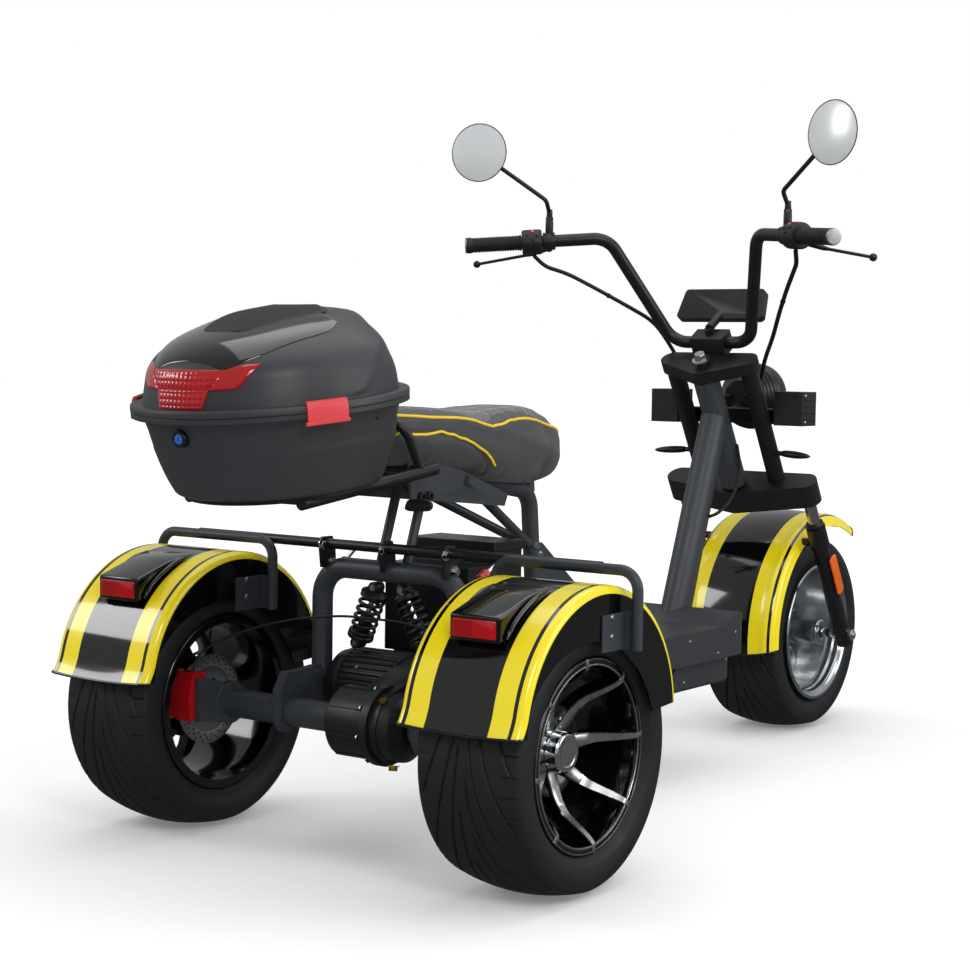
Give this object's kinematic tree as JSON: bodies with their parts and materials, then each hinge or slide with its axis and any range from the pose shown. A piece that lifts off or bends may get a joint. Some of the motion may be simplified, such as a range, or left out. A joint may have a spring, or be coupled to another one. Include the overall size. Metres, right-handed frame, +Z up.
{
  "type": "electric tricycle",
  "caption": "Open electric tricycle with wide tyres, padded seat, chopper handlebar, flat footboard, rear fenders with rails and a lidded top box.",
  "frame": {"origin": "on the ground, under the middle of the whole machine's bounding box", "axes": "+Y forward, +X to the rider's right, +Z up"},
  "size_m": [1.109, 2.3773, 1.4265],
  "materials": {
    "black_alloy": "gloss black painted alloy with machined faces",
    "black_paint": "satin black",
    "black_plastic": "fine grained",
    "box_plastic": "grained charcoal",
    "cable_black": "satin",
    "caliper_red": "gloss red",
    "cast_black": "black on cast alloy",
    "chrome_trim": "mirror polish",
    "disc_steel": "ground",
    "fender_gloss": "gloss black with yellow bands",
    "frame_paint": "satin dark grey powder coat",
    "grip_rubber": "ribbed",
    "mirror_glass": "flat mirror",
    "panel_gloss": "gloss black",
    "polished_alloy": "polished",
    "red_lens": "clear moulded red",
    "red_plastic": "moulded red",
    "seat_cover": "black and grey synthetic leather, yellow stitching",
    "tyre_rubber": "grooved tread, satin sidewall"
  },
  "bodies": {
    "chassis": {"main_frame": "frame_paint", "seat_frame": "frame_paint", "rear_rack": "frame_paint", "rear_arch": "frame_paint", "gearbox": "cast_black", "drive_motor": "cast_black", "axle_housing": "frame_paint", "rear_calipers": "caliper_red", "shocks": "black_paint", "rear_fender_left": "fender_gloss", "rear_fender_right": "fender_gloss", "tail_lamps": "red_lens", "fender_rails": "black_paint", "cross_bar": "frame_paint", "footboard": "black_plastic", "floor_case": "black_plastic", "battery_box": "black_plastic", "seat": "seat_cover", "top_box": "box_plastic", "brake_line": "cable_black", "frame_loom": "cable_black"},
    "steering": {"fork_tubes": "black_paint", "top_clamp": "cast_black", "lower_crown": "cast_black", "fork_stanchions": "chrome_trim", "front_axle": "chrome_trim", "fork_sliders": "black_paint", "front_caliper": "caliper_red", "front_fender": "fender_gloss", "handlebar": "black_paint", "grips": "grip_rubber", "controls": "black_plastic", "mirrors": "black_plastic", "mirror_glass": "mirror_glass", "levers": "black_paint", "display": "panel_gloss", "headlamp": "black_plastic", "aux_lamps": "black_plastic", "indicators": "black_plastic", "steering_looms": "cable_black"},
    "front_wheel": {"front_tyre": "tyre_rubber", "front_rim": "polished_alloy", "front_disc": "disc_steel"},
    "box_lid": {"top_box_lid": "box_plastic", "lid_latches": "red_plastic", "lid_lens": "red_lens", "lid_panel": "panel_gloss"},
    "rear_wheel_left": {"rear_tyre_left": "tyre_rubber", "rear_rim_left": "black_alloy", "rear_disc_left": "disc_steel", "hub_cap_left": "chrome_trim"},
    "rear_wheel_right": {"rear_tyre_right": "tyre_rubber", "rear_rim_right": "black_alloy", "rear_disc_right": "disc_steel", "hub_cap_right": "chrome_trim"}
  },
  "joints": [
    {"name": "steering_turn", "type": "hinge", "parent": "chassis", "child": "steering", "pos_m": [0, 0.6138, 0.73632], "axis": [0, -0.515, 0.8572], "range_deg": [-38, 38]},
    {"name": "front_wheel_roll", "type": "hinge", "parent": "steering", "child": "front_wheel", "pos_m": [0, 0.95025, 0.2385], "axis": [-1, 0, 0], "continuous": true},
    {"name": "rear_wheel_left_roll", "type": "hinge", "parent": "chassis", "child": "rear_wheel_left", "pos_m": [-0.407, -0.71275, 0.2385], "axis": [-1, 0, 0], "continuous": true},
    {"name": "rear_wheel_right_roll", "type": "hinge", "parent": "chassis", "child": "rear_wheel_right", "pos_m": [0.407, -0.71275, 0.2385], "axis": [-1, 0, 0], "continuous": true},
    {"name": "lid_opening", "type": "hinge", "parent": "chassis", "child": "box_lid", "pos_m": [0, -0.7404, 0.83978], "axis": [-1, 0, 0], "range_deg": [0, 78]}
  ]
}
